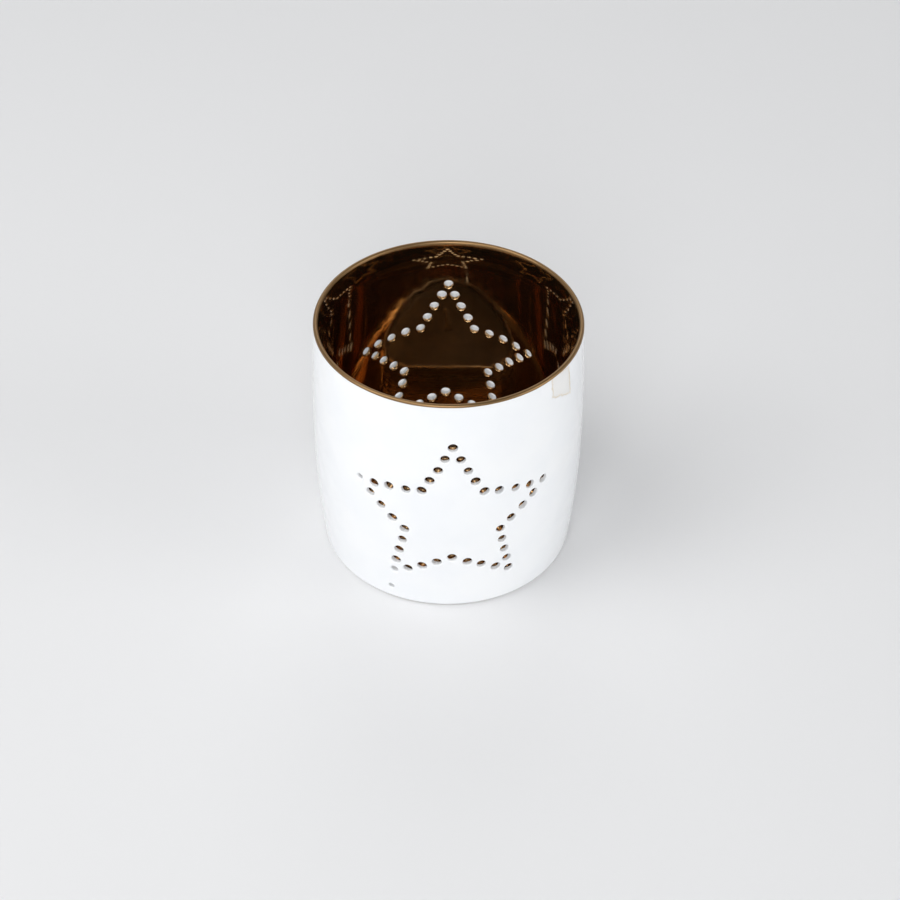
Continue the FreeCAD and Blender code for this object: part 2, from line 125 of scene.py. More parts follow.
class Skin:
    """A mesh in the making: points with their exact normals, and faces between them."""

    def __init__(self):
        self.points = np.empty((0, 3))
        self.normals = np.empty((0, 3))
        self.depths = np.empty(0)
        self.faces = []

    def add(self, points, normals, depth=GILT):
        """Adds points and returns their numbers. depth is how thick the skin is if it is a layer."""
        points = np.reshape(points, (-1, 3))
        numbers = np.arange(len(self.points), len(self.points) + len(points))
        self.points = np.concatenate([self.points, points])
        self.normals = np.concatenate([self.normals, np.reshape(normals, (-1, 3))])
        self.depths = np.concatenate([self.depths, np.full(len(points), depth)])
        return numbers

    def bridge(self, first, second, closed=True):
        """Quads between two loops, or two open lines, of as many points each."""
        for i in range(0 if closed else 1, len(first)):
            self.faces.append((first[i - 1], first[i], second[i], second[i - 1]))

    def fan(self, loop, hub):
        """Triangles from a loop to one point."""
        for i in range(len(loop)):
            self.faces.append((loop[i - 1], loop[i], hub))

    def thicken(self):
        """Makes the skin a closed layer, with a back that lies behind each point by its depth."""
        edges = {}
        for face in self.faces:
            for i in range(len(face)):
                edges.setdefault(frozenset((face[i - 1], face[i])), []).append((face[i - 1], face[i]))
        front = list(self.faces)
        count = len(self.points)
        unit = self.normals / np.linalg.norm(self.normals, axis=1, keepdims=True)
        self.add(self.points - unit * self.depths[:, None], -self.normals)
        self.faces += [tuple(k + count for k in face) for face in front]
        self.faces += [(a, b, b + count, a + count) for (a, b), *more in edges.values() if not more]

    def make(self, name, exact=True):
        """The finished object, its faces turned to agree with the normals."""
        starts = np.array([face[:3] for face in self.faces])
        a, b, c = (self.points[starts[:, k]] for k in range(3))
        toward = self.normals[starts].sum(axis=1)
        against = (np.cross(b - a, c - a) * toward).sum(axis=1) < 0
        faces = [[int(k) for k in (face[::-1] if back else face)] for face, back in zip(self.faces, against)]
        mesh = bpy.data.meshes.new(name)
        mesh.from_pydata((self.points * MM).tolist(), [], faces)
        mesh.shade_smooth()
        if exact:
            unit = self.normals / np.linalg.norm(self.normals, axis=1, keepdims=True)
            mesh.normals_split_custom_set_from_vertices(unit.tolist())
        obj = bpy.data.objects.new(name, mesh)
        bpy.context.collection.objects.link(obj)
        return obj


class Outline:
    """A smooth line in the plane of radius and height. What it encloses lies on its left."""

    def __init__(self, radius, height, rise=1):
        self.rise = rise
        self.points = [np.array((radius, height), float)]

    def to(self, radius, height, step=0.4):
        """Runs straight to a point."""
        start, end = self.points[-1], np.array((radius, height), float)
        count = max(2, int(np.linalg.norm(end - start) / step) + 1)
        self.points += [start + (end - start) * k / count for k in range(1, count + 1)]
        return self

    def arc(self, centre, radius, start, end, step=0.05):
        """Goes round a centre from one angle to another, in degrees."""
        count = max(8, int(math.radians(abs(end - start)) * radius / step))
        for angle in np.radians(np.linspace(start, end, count + 1)):
            point = np.array(centre) + radius * np.array((math.cos(angle), math.sin(angle)))
            if np.linalg.norm(point - self.points[-1]) > 1e-3:
                self.points.append(point)
        return self

    def done(self):
        """Works out the lengths along the line, and its normals."""
        line = np.array(self.points)
        self.along = np.concatenate([[0], np.cumsum(np.linalg.norm(np.diff(line, axis=0), axis=1))])
        run = np.gradient(line, self.along, axis=0)
        self.columns = np.column_stack([line, run[:, 1], -run[:, 0]])
        return self

    def at(self, v):
        """Radius, height and the normal's two parts, at lengths v along the line."""
        return [np.interp(v, self.along, column) for column in self.columns.T]

    def nearest(self, distance):
        """The length at which distance(radius, height) is smallest."""
        return self.along[np.argmin(distance(self.columns[:, 0], self.columns[:, 1]))]

    def length_at(self, height, beyond=0.0):
        """The length at which the line, beyond a radius, is at that height."""
        return self.nearest(lambda r, z: np.abs(z - height) + 1e3 * (r < beyond))

    def surface(self, azimuth, v):
        """Points and normals of the line turned about the axis."""
        radius, height, out, up, azimuth = np.broadcast_arrays(*self.at(v), azimuth)
        sin, cos = np.sin(azimuth), np.cos(azimuth)
        points = np.stack([radius * sin, -radius * cos, height], axis=-1)
        return points, np.stack([out * sin, -out * cos, up], axis=-1)


def steps(start, end, size):
    """Evenly spaced lengths from start to end, at most size apart."""
    return np.linspace(start, end, int(abs(end - start) / size) + 2)


def around(columns=COLUMNS):
    """The azimuths of a turned mesh's columns. The first is on the cup's left, clear of the stars."""
    return -TURN / 4 + np.arange(columns) * TURN / columns


def turn(skin, outline, lengths, first=None, last=None, columns=COLUMNS):
    """Turns the outline at those lengths. first and last are rings that are there already."""
    rings = []
    for k, v in enumerate(lengths):
        points, normals = outline.surface(around(columns), v)
        if k == 0 and first is not None:
            rings.append(first)
        elif k == len(lengths) - 1 and last is not None:
            rings.append(last)
        elif outline.at(v)[0] < 1e-3:
            rings.append(skin.add(points[0], normals[0]))
        else:
            rings.append(skin.add(points, normals))
    for ring, following in zip(rings, rings[1:]):
        if len(ring) == 1:
            skin.fan(following, ring[0])
        elif len(following) == 1:
            skin.fan(ring, following[0])
        else:
            skin.bridge(ring, following)
    return rings


# ------------------------------------------------------------------ the cup's outlines


def arc_radius(arc, inset, height):
    """Radius of the wall's upper or lower arc, moved in by inset, at a height."""
    return BELLY_RADIUS - arc + math.sqrt((arc - inset) ** 2 - (height - BELLY_HEIGHT) ** 2)


def corner_of(inset, radius, level):
    """Centre and top angle of the round between a level face and the lower arc."""
    reach, drop = LOWER_ARC - inset - radius, level + radius - BELLY_HEIGHT
    centre = (BELLY_RADIUS - LOWER_ARC + math.sqrt(reach**2 - drop**2), level + radius)
    return centre, math.degrees(math.asin(drop / reach))


UPPER_CENTRE = (BELLY_RADIUS - UPPER_ARC, BELLY_HEIGHT)
LOWER_CENTRE = (BELLY_RADIUS - LOWER_ARC, BELLY_HEIGHT)
LIP_HEIGHT = CUP_TOP - LIP_RADIUS
LIP_CENTRE = (arc_radius(UPPER_ARC, LIP_RADIUS, LIP_HEIGHT), LIP_HEIGHT)
LIP_ANGLE = math.degrees(math.asin((LIP_HEIGHT - BELLY_HEIGHT) / (UPPER_ARC - LIP_RADIUS)))


def flare():
    """The arc that thins the wall to the lip: its centre, its angle at the lip and that at the wall."""
    from_wall, from_lip = UPPER_ARC - WALL + FLARE_RADIUS, FLARE_RADIUS - LIP_RADIUS
    apart = math.dist(LIP_CENTRE, UPPER_CENTRE)
    along = (from_wall**2 - from_lip**2 + apart**2) / (2 * apart)
    swing = math.radians(LIP_ANGLE) - math.acos(along / from_wall)
    x, y = UPPER_CENTRE[0] + from_wall * math.cos(swing), UPPER_CENTRE[1] + from_wall * math.sin(swing)
    lip_end = math.atan2(LIP_CENTRE[1] - y, LIP_CENTRE[0] - x)
    return (x, y), math.degrees(lip_end), 180 + math.degrees(swing)


def outside_outline():
    """From the middle of the underside, over the foot ring and up the wall to the top of the lip."""
    base, top = corner_of(0.0, BASE_CORNER, 0.0)
    line = Outline(0, RECESS_DEPTH)
    line.to(RECESS_RADIUS - 0.5, RECESS_DEPTH)
    line.arc((RECESS_RADIUS - 0.5, RECESS_DEPTH - 0.5), 0.5, 90, 45)
    line.arc((FOOT_INNER + 0.1, 0.5), 0.5, 225, 270)
    line.arc(base, BASE_CORNER, -90, top)
    line.arc(LOWER_CENTRE, LOWER_ARC, top, 0)
    line.arc(UPPER_CENTRE, UPPER_ARC, 0, LIP_ANGLE)
    line.arc(LIP_CENTRE, LIP_RADIUS, LIP_ANGLE, 90)
    return line.done()


def inside_outline(grown):
    """From the top of the lip, down the inner wall and over the floor to its middle.

    grown moves it off the porcelain, towards the hollow."""
    inset, level, radius = WALL + grown, FLOOR_LEVEL + grown, FLOOR_CORNER - grown
    base, top = corner_of(inset, radius, level)
    centre, lip_end, wall_end = flare()
    line = Outline(LIP_CENTRE[0], CUP_TOP + grown, rise=-1)
    line.arc(LIP_CENTRE, LIP_RADIUS + grown, 90, lip_end)
    line.arc(centre, FLARE_RADIUS + grown, lip_end, wall_end)
    line.arc(UPPER_CENTRE, UPPER_ARC - inset, wall_end - 180, 0)
    line.arc(LOWER_CENTRE, LOWER_ARC - inset, 0, top)
    line.arc(base, radius, top, -90)
    line.to(0, level)
    return line.done()


# ------------------------------------------------------------------ the punched holes


class Hole:
    """A hole punched square to the wall, with glaze run round its edges."""

    def __init__(self, outside, offset, height, facing, dice):
        self.azimuth = math.radians(facing) + offset / BELLY_RADIUS
        self.radius, self.height, self.out, self.up = outside.at(outside.length_at(height, FOOT_INNER))
        self.outer = (HOLE_RADIUS * dice.uniform(0.94, 1.04), GLAZE_ROUND * dice.uniform(0.8, 1.2))
        self.inner = (self.outer[0] + 0.04, INNER_ROUND * dice.uniform(0.8, 1.2))
        self.lustre = (FRONT_REACH if facing == 0.0 else BACK_REACH) * dice.uniform(0.75, 1.15)
        self.lustre_tilt = dice.uniform(-0.3, 0.3)
        self.oval = dice.uniform(-0.025, 0.025)
        self.oval_tilt = dice.uniform(0, math.pi)

    def narrow(self, radius, edge):
        """Glaze has run into the hole from outside and left it that much smaller."""
        self.outer = (radius, edge)

    def meets(self, outline):
        """The length along an outline at which the hole's axis meets it."""
        return outline.nearest(
            lambda r, z: np.abs((r - self.radius) * self.up - (z - self.height) * self.out)
        )

    def directions(self):
        """The ring's points as amounts sideways and upwards, for a radius of 1."""
        angle = np.arange(RING_POINTS) * TURN / RING_POINTS
        size = 1 + self.oval * np.cos(2 * (angle - self.oval_tilt))
        return size * np.cos(angle), size * np.sin(angle)


class Mouth:
    """A hole's opening on one face of the wall: its edge is a round that leads into the hole."""

    def __init__(self, hole, outline, radius, edge, depth):
        self.hole, self.outline = hole, outline
        self.radius, self.edge, self.depth = radius, edge, depth
        self.centre = hole.meets(outline)
        self.wall_radius = outline.at(self.centre)[0]

    def ring(self, reach):
        """Azimuths and lengths of a ring of that radius round the hole."""
        across, up = self.hole.directions()
        azimuths = self.hole.azimuth + reach * across / self.wall_radius
        return azimuths, self.centre + self.outline.rise * reach * up

    def away(self, azimuths, lengths):
        """How far points of the wall are from the hole's middle."""
        return np.hypot((azimuths - self.hole.azimuth) * self.wall_radius, lengths - self.centre)

    def sink(self, skin, ring):
        """Rounds the wall's face over the edge, from ring into the hole. Returns the deepest ring."""
        normal = self.outline.surface(self.hole.azimuth, self.centre)[1]
        side = np.array((math.cos(self.hole.azimuth), math.sin(self.hole.azimuth), 0))
        rise = self.outline.rise * np.cross(normal, side)
        across, up = self.hole.directions()
        outward = across[:, None] * side + up[:, None] * rise
        for angle in np.linspace(0, math.pi / 2, EDGE_STEPS + 1)[1:]:
            sin, cos = math.sin(angle), math.cos(angle)
            points, _ = self.outline.surface(*self.ring(self.radius + self.edge * (1 - sin)))
            points = points - self.depth * (1 - cos) * normal
            lower = skin.add(points, cos * normal - sin * outward, FILM_EDGE if cos < 0.1 else GILT * 0.8)
            skin.bridge(ring, lower)
            ring = lower
        return ring

    def coat(self, skin, ring, dice):
        """Carries the lustre on from ring, down the hole's side, to an edge that wanders."""
        inward = -self.outline.surface(self.hole.azimuth, self.centre)[1]
        points, normals = skin.points[ring], skin.normals[ring] + self.hole.lustre_tilt * inward
        reach = self.hole.lustre - self.edge
        waver = 1 + 0.25 * np.cos(np.arange(RING_POINTS) * TURN / RING_POINTS * 2 + dice.uniform(0, TURN))
        for depth in (reach / 2, reach):
            lower = skin.add(points + inward * (depth * waver)[:, None], normals, FILM_EDGE)
            skin.bridge(ring, lower)
            ring = lower


def star_points(spin, lean):
    """The middles of one star's holes: equal steps along its ten edges."""
    corners = STAR + [(-x, y) for x, y in reversed(STAR[1:-1])]
    foot, tip, middle = STAR[4][1], STAR[0][1], CUP_TOP / 2
    cos, sin = math.cos(math.radians(spin)), math.sin(math.radians(spin))
    swung = []
    for x, y in corners:
        y -= lean * x * (y - foot) / (tip - foot) + middle
        swung.append((x * cos - y * sin, x * sin + y * cos + middle))
    points = []
    for (x0, y0), (x1, y1) in zip(swung, swung[1:] + swung[:1]):
        for step in range(HOLES_PER_EDGE):
            share = step / HOLES_PER_EDGE
            points.append((x0 + (x1 - x0) * share, y0 + (y1 - y0) * share))
    return points


def punch_holes(outside):
    """Both stars, each hole a little off its mark, and the stray hole under the front one's left foot."""
    dice = random.Random(11)
    holes = []
    for facing, spin, lean in ((0.0, 0.0, FRONT_LEAN), (BACK_BEARING, BACK_TURN, 0.0)):
        for x, y in star_points(spin, lean):
            x, y = x + dice.gauss(0, HOLE_SCATTER), y + dice.gauss(0, HOLE_SCATTER)
            holes.append(Hole(outside, x, y, facing, dice))
    arm_tip, foot_tip = 8 * HOLES_PER_EDGE, 6 * HOLES_PER_EDGE
    holes[arm_tip].narrow(0.75, 0.9)
    holes[foot_tip].narrow(1.0, 0.7)
    stray = Hole(outside, STRAY_OFFSET, STRAY_HEIGHT, 0.0, dice)
    stray.outer, stray.inner = (0.85, 0.4), (0.9, INNER_ROUND)
    return holes + [stray]


def pierced_wall(skin, outline, rows, mouths):
    """The outline turned between the first and last row, with an opening for each mouth.

    Returns the first row's ring, the last row's ring, and the ring round each opening."""
    columns = np.append(around(), TURN * 3 / 4)
    grid = np.stack(np.meshgrid(columns, rows), axis=-1)
    clear = np.ones(grid.shape[:2], bool)
    for mouth in mouths:
        clear &= mouth.away(grid[..., 0], grid[..., 1]) > mouth.radius + mouth.edge + HOLE_CLEARANCE
    number = np.full(clear.shape, -1)
    number[clear] = np.arange(clear.sum())
    flat, loops, count = [grid[clear]], [], clear.sum()
    for mouth in mouths:
        loop = np.column_stack(mouth.ring(mouth.radius + mouth.edge))
        guard = np.column_stack(mouth.ring(mouth.radius + mouth.edge + GUARD_RING))
        own = mouth.away(*guard.T)
        for other in mouths:
            if other is not mouth:
                guard = guard[other.away(*guard.T) > own.max() + 0.1]
        flat += [loop, guard]
        loops.append(np.arange(count, count + len(loop)))
        count += len(loop) + len(guard)
    flat = np.concatenate(flat)
    edges = [(int(loop[k - 1]), int(loop[k])) for loop in loops for k in range(len(loop))]
    corners = [Vector((azimuth * BELLY_RADIUS, v)) for azimuth, v in flat]
    _, _, triangles, sources, _, _ = delaunay_2d_cdt(corners, edges, [], 0, 1e-5)
    # the first column is the last one too
    doubled = np.zeros(count, bool)
    doubled[number[:, -1]] = True
    named = np.full(count, -1)
    named[~doubled] = skin.add(*outline.surface(*flat[~doubled].T))
    named[number[:, -1]] = named[number[:, 0]]
    owner = np.full(count, -1)
    for k, loop in enumerate(loops):
        owner[loop] = k
    for triangle in triangles:
        ends = [sources[k][0] for k in triangle]
        if owner[ends[0]] < 0 or len(set(owner[ends])) > 1:
            skin.faces.append(tuple(named[ends]))
    return named[number[0, :-1]], named[number[-1, :-1]], [named[loop] for loop in loops]


# ------------------------------------------------------------------ the cup


def line_cup(skin, outline, holes, start, extra):
    """The inside surface, from the ring start on top of the lip to the middle of the floor.

    extra is how much deeper than the porcelain's own the holes' edges are. Returns the holes' mouths
    and the ring that each ends in."""
    high, low = outline.length_at(CUP_TOP - LIP_BAND), outline.length_at(FLOOR_LEVEL + 0.3)
    bend = outline.length_at(FLOOR_LEVEL + FLOOR_CORNER, FOOT_INNER)
    end = outline.along[-1]
    mouths = []
    for hole in holes:
        radius, edge = hole.inner
        mouths.append(Mouth(hole, outline, radius - min(extra, FILM_EDGE), edge, edge + extra))
    rows = np.concatenate([steps(high, bend, ROW_STEP)[:-1], steps(bend, low, 0.6)])
    top, bottom, rings = pierced_wall(skin, outline, rows, mouths)
    turn(skin, outline, steps(0, high, 0.2), first=start, last=top)
    turn(skin, outline, np.concatenate([steps(low, low + 3, 0.5), steps(low + 5, end, 4.0)]), first=bottom)
    return mouths, [mouth.sink(skin, ring) for mouth, ring in zip(mouths, rings)]


def make_porcelain(holes, outside):
    """The porcelain as one closed skin: foot, outside, lip, inside under the gilt, and the holes."""
    skin = Skin()
    bottom, top = outside.length_at(BASE_CORNER + 0.5, FOOT_INNER), outside.length_at(CUP_TOP - LIP_BAND)
    foot = outside.nearest(lambda r, z: np.hypot(r - RECESS_RADIUS + 1.0, z - RECESS_DEPTH))
    mouths = [Mouth(hole, outside, *hole.outer, min(hole.outer[1], DEEPEST_ROUND)) for hole in holes]
    low, high, rings = pierced_wall(skin, outside, steps(bottom, top, ROW_STEP), mouths)
    turn(skin, outside, np.concatenate([steps(0, foot - 0.5, 4.0), steps(foot, bottom, 0.12)]), last=low)
    lip = turn(skin, outside, steps(top, outside.along[-1], 0.12), first=high)[-1]
    _, inner_rings = line_cup(skin, inside_outline(0.0), holes, lip, 0.0)
    for mouth, ring, inner_ring in zip(mouths, rings, inner_rings):
        skin.bridge(mouth.sink(skin, ring), inner_ring)
    return skin.make("porcelain")


def film_edge(azimuths):
    """The angle round the lip at which the lustre ends on the outside: a brushed edge that wanders."""
    dice = random.Random(4)
    angle = np.full(len(azimuths), FILM_START)
    for waves in (2, 3, 5, 8, 13, 21, 34):
        angle += dice.uniform(2, 5) * waves**-0.25 * np.cos(waves * azimuths + dice.uniform(0, TURN))
    return np.radians(angle)


def make_gilt(holes):
    """The gold lustre: a thin closed layer over the lip, the wall, the holes' inner edges and the floor."""
    skin = Skin()
    rings = []
    start = film_edge(around())
    for share in np.linspace(0, 1, 13):
        angle = start + (math.pi / 2 - start) * share
        depth = FILM_EDGE if share == 0 else GILT
        reach = LIP_RADIUS + depth
        radius, height = LIP_CENTRE[0] + reach * np.cos(angle), LIP_HEIGHT + reach * np.sin(angle)
        sin, cos = np.sin(around()), np.cos(around())
        points = np.column_stack([radius * sin, -radius * cos, height])
        normals = np.column_stack([np.cos(angle) * sin, -np.cos(angle) * cos, np.sin(angle)])
        rings.append(skin.add(points, normals, depth))
    for ring, following in zip(rings, rings[1:]):
        skin.bridge(ring, following)
    mouths, ends = line_cup(skin, inside_outline(GILT), holes, rings[-1], GILT)
    dice = random.Random(5)
    for mouth, end in zip(mouths, ends):
        mouth.coat(skin, end, dice)
    skin.thicken()
    return skin.make("gold_lustre_film")


# ------------------------------------------------------------------ the tealight


# as in the CAD
CAN_RADIUS = 18.5
CAN_SHEET = 0.2
CAN_CORNER = 1.2
CAN_CURL = 0.5
WAX_CORNER = 1.0
WAX_LEVEL = 12.6
WICK_RADIUS = 0.75
WICK_STRAIGHT_END = 14.8
WICK_BEND_RADIUS = 14.0
WICK_BEND = 24.0

# the can's pressed flutes, the wax's gap to the can and its creep up it, and the wick's braid
FLUTES = 48
FLUTE_DEPTH = 0.11
WAX_GAP = 0.06
WAX_CREEP = 0.9
WICK_COLLAR = 1.7
STRANDS = 3
BRAID_DEPTH = 0.1


def make_can():
    """The drawn foil can: pressed flutes round its wall, a rolled rim, a plain floor."""
    curl = (CAN_RADIUS - CAN_SHEET + CAN_CURL, CAN_TOP - CAN_CURL)
    corner = (CAN_RADIUS - CAN_CORNER, CAN_BASE + CAN_CORNER)
    line = Outline(0, CAN_BASE)
    line.to(corner[0], CAN_BASE)
    line.arc(corner, CAN_CORNER, -90, 0)
    line.to(CAN_RADIUS, curl[1])
    line.arc(curl, CAN_CURL - CAN_SHEET, 180, -100)
    line.arc(curl, CAN_CURL, -100, 180)
    line.to(CAN_RADIUS - CAN_SHEET, corner[1])
    line.arc(corner, CAN_CORNER - CAN_SHEET, 0, -90)
    line.to(0, CAN_BASE + CAN_SHEET)
    line.done()
    skin = Skin()
    columns = FLUTES * 6
    wall_end = line.length_at(curl[1] - 0.4, CAN_RADIUS - 0.05)
    floor_end = line.nearest(lambda r, z: np.hypot(r - corner[0], z - CAN_BASE))
    inner = line.nearest(lambda r, z: np.hypot(r - corner[0], z - CAN_BASE - CAN_SHEET))
    lengths = np.concatenate([
        steps(0, floor_end - 0.2, 3.0), steps(floor_end, wall_end, 0.35),
        steps(wall_end + 0.1, inner, 0.12), steps(inner + 0.5, line.along[-1], 3.0),
    ])
    turn(skin, line, lengths, columns=columns)
    height, radius = skin.points[:, 2], np.hypot(skin.points[:, 0], skin.points[:, 1])
    azimuth = np.arctan2(skin.points[:, 0], -skin.points[:, 1])
    ends = np.clip((height - CAN_BASE - 1.6) / 1.2, 0, 1) * np.clip((CAN_TOP - 2.0 - height) / 1.2, 0, 1)
    press = np.where(radius > CAN_RADIUS - 0.3, FLUTE_DEPTH * ends * (np.cos(FLUTES * azimuth) - 1), 0)
    skin.points[:, :2] *= (1 + press / np.maximum(radius, 1))[:, None]
    return skin.make("fluted_can", exact=False)


def make_wax():
    """The wax, crept up the can's wall and round the wick, and a little uneven on top."""
    level, wall = WAX_BASE + WAX_LEVEL, WAX_RADIUS - WAX_GAP
    corner = (WAX_RADIUS - WAX_CORNER, WAX_BASE + WAX_CORNER + WAX_GAP)
    line = Outline(0, WAX_BASE + WAX_GAP)
    line.to(corner[0], WAX_BASE + WAX_GAP)
    line.arc(corner, WAX_CORNER - WAX_GAP, -90, 0)
    line.to(wall, level + 0.65)
    line.arc((wall - 0.1, level + 0.65), 0.1, 0, 120)
    line.arc((WAX_RADIUS - 1.2, level + WAX_CREEP), WAX_CREEP, -15, -90)
    line.to(WICK_COLLAR, level)
    line.arc((WICK_COLLAR, level + 0.95), 0.95, 270, 180)
    line.to(0, level + 1.0)
    line.done()
    skin = Skin()
    top = line.length_at(level + 0.6, WAX_RADIUS - 0.3)
    lengths = np.concatenate([steps(0, top, 0.9), steps(top + 0.05, line.along[-1], 0.3)])
    turn(skin, line, lengths, columns=120)
    x, y, z = skin.points.T
    slack = np.clip((z - level + 0.5) / 0.4, 0, 1) * np.clip((WAX_RADIUS - 1.2 - np.hypot(x, y)) / 3, 0, 1)
    skin.points[:, 2] += slack * (0.09 * np.sin(0.31 * x + 0.6) * np.cos(0.27 * y) - 0.12)
    return skin.make("beeswax", exact=False)


def make_wick():
    """The waxed cotton wick, braided: strands cross in a herringbone along its round core."""
    skin = Skin()
    dice = random.Random(7)
    rings = []
    bend = math.radians(WICK_BEND)
    straight = WICK_STRAIGHT_END - CAN_SHEET
    length = straight + WICK_BEND_RADIUS * bend
    angle = np.arange(36) * TURN / 36
    for s in steps(0, length, 0.09):
        lean = max(0.0, s - straight) / WICK_BEND_RADIUS
        x = WICK_BEND_RADIUS * (1 - math.cos(lean))
        z = WICK_BASE + min(s, straight) + WICK_BEND_RADIUS * math.sin(lean)
        braid = np.maximum(np.sin(STRANDS * angle + 3.6 * s), np.sin(STRANDS * angle - 3.6 * s))
        tip = 1 - 0.35 * max(0.0, 1 - (length - s) / 0.3) ** 2
        size = (WICK_RADIUS - 0.14 + BRAID_DEPTH * braid) * tip + dice.uniform(-0.008, 0.008)
        across = np.cos(angle)
        out = np.column_stack([across * math.cos(lean), np.sin(angle), -across * math.sin(lean)])
        rings.append(skin.add(np.array((x, 0, z)) + out * size[:, None], out))
    for ring, following in zip(rings, rings[1:]):
        skin.bridge(ring, following)
    for ring, way in ((rings[0], -1), (rings[-1], 1)):
        along = way * np.array((math.sin(bend), 0, math.cos(bend)) if way > 0 else (0, 0, 1))
        hub = skin.add(skin.points[ring].mean(axis=0) + 0.12 * along, along)[0]
        skin.fan(ring, hub)
    return skin.make("braided_wick", exact=False)


# ------------------------------------------------------------------ materials


class Nodes:
    """A new material, with short calls that add nodes to it and join them."""

    def __init__(self, name, **shader):
        self.material = bpy.data.materials.new(name)
        self.material.use_nodes = True
        self.tree = self.material.node_tree
        self.shader = self.tree.nodes["Principled BSDF"]
        self.place = self.add("ShaderNodeTexCoord").outputs["Object"]
        for key, value in shader.items():
            self.set(key.replace("_", " "), value)

    def feed(self, socket, value):
        if isinstance(value, bpy.types.NodeSocket):
            self.tree.links.new(value, socket)
        else:
            socket.default_value = value

    def set(self, socket, value):
        """Sets one of the shader's inputs, or links it."""
        self.feed(self.shader.inputs[socket], value)

    def add(self, kind, inputs=(), **settings):
        node = self.tree.nodes.new(kind)
        for key, value in settings.items():
            setattr(node, key, value)
        for key, value in dict(inputs).items():
            self.feed(node.inputs[key], value)
        return node

    def math(self, operation, *values):
        return self.add("ShaderNodeMath", enumerate(values), operation=operation).outputs[0]

    def axes(self):
        """Where a point is, as x, y and z in metres."""
        return self.add("ShaderNodeSeparateXYZ", {0: self.place}).outputs

    def stretched(self, x, y, z):
        """The place, stretched by a factor along each axis."""
        return self.add("ShaderNodeMapping", {"Vector": self.place, "Scale": (x, y, z)}).outputs[0]

    def noise(self, size, detail=2.0, roughness=0.5, place=None):
        """Noise from 0 to 1 with features of a size in millimetres."""
        inputs = {"Vector": place or self.place, "Scale": 1 / (size * MM), "Detail": detail,
                  "Roughness": roughness}
        return self.add("ShaderNodeTexNoise", inputs).outputs["Fac"]

    def remap(self, value, low, high, to_low=0.0, to_high=1.0, smooth=True):
        inputs = {"Value": value, "From Min": low, "From Max": high, "To Min": to_low, "To Max": to_high}
        kind = "SMOOTHSTEP" if smooth else "LINEAR"
        return self.add("ShaderNodeMapRange", inputs, interpolation_type=kind).outputs[0]

    def mix(self, share, first, second):
        """A colour between two others."""
        inputs = {0: share, 6: first, 7: second}
        return self.add("ShaderNodeMix", inputs, data_type="RGBA").outputs[2]

    def bump(self, height, depth, strength=1.0):
        """Relief of height times depth, in millimetres."""
        inputs = {"Height": height, "Distance": depth * MM, "Strength": strength}
        self.set("Normal", self.add("ShaderNodeBump", inputs).outputs[0])


def colour(red, green, blue):
    return red, green, blue, 1.0


# a peeled-off label's corners, as (arc length from the front, height), the way its edges run
LABEL = [(31.8, 79.5), (32.3, 71.4), (41.9, 67.2), (40.8, 77.5)]


def label_mark(nodes):
    """How far inside the label's edges a point is, in millimetres."""
    x, y, z = nodes.axes()
    azimuth = nodes.math("ARCTAN2", x, nodes.math("MULTIPLY", y, -1.0))
    across = nodes.math("MULTIPLY", azimuth, BELLY_RADIUS)
    height = nodes.math("DIVIDE", z, MM)
    inside = None
    for (ax, ay), (bx, by) in zip(LABEL, LABEL[1:] + LABEL[:1]):
        size = math.hypot(bx - ax, by - ay)
        nx, ny = (ay - by) / size, (bx - ax) / size
        along = nodes.math("MULTIPLY_ADD", across, nx, -ax * nx - ay * ny)
        depth = nodes.math("MULTIPLY_ADD", height, ny, along)
        inside = depth if inside is None else nodes.math("MINIMUM", inside, depth)
    return inside


def white_porcelain():
    """Hard white glaze over porcelain: glossy, faintly blue, rippled, with a dry unglazed foot."""
    nodes = Nodes("white_glaze", Roughness=0.13, IOR=1.5)
    inside = label_mark(nodes)
    wander = nodes.remap(nodes.noise(1.2, 3.0), 0.3, 0.7, -0.35, 0.35, smooth=False)
    edge = nodes.math("ADD", inside, wander)
    outline = nodes.math("MULTIPLY", nodes.remap(edge, -0.2, 0.1), nodes.remap(edge, 0.8, 0.3))
    film = nodes.math("MULTIPLY", nodes.remap(edge, -0.1, 0.3), 0.22)
    mark = nodes.math("MAXIMUM", nodes.math("MULTIPLY", outline, 0.8), film)
    tone = nodes.remap(nodes.noise(14.0), 0.3, 0.7)
    glaze = nodes.mix(tone, colour(0.80, 0.815, 0.835), colour(0.825, 0.835, 0.845))
    marked = nodes.mix(mark, glaze, colour(0.62, 0.54, 0.42))
    z = nodes.axes()[2]
    foot = nodes.remap(nodes.math("MULTIPLY_ADD", nodes.noise(2.0), 0.0003, z), 0.0006, 0.0003)
    nodes.set("Base Color", nodes.mix(foot, marked, colour(0.66, 0.64, 0.60)))
    speckle = nodes.remap(nodes.noise(1.5, 4.0), 0.3, 0.7, 0.11, 0.17)
    dull = nodes.math("MULTIPLY_ADD", mark, 0.4, speckle)
    nodes.set("Roughness", nodes.math("MULTIPLY_ADD", foot, 0.6, dull))
    ripple = nodes.math("MULTIPLY_ADD", nodes.noise(1.6), 0.06, nodes.noise(9.0, 1.0))
    grit = nodes.math("MULTIPLY", nodes.noise(0.3), nodes.math("MULTIPLY", foot, 0.1))
    nodes.bump(nodes.math("ADD", ripple, grit), 0.15)
    return nodes.material


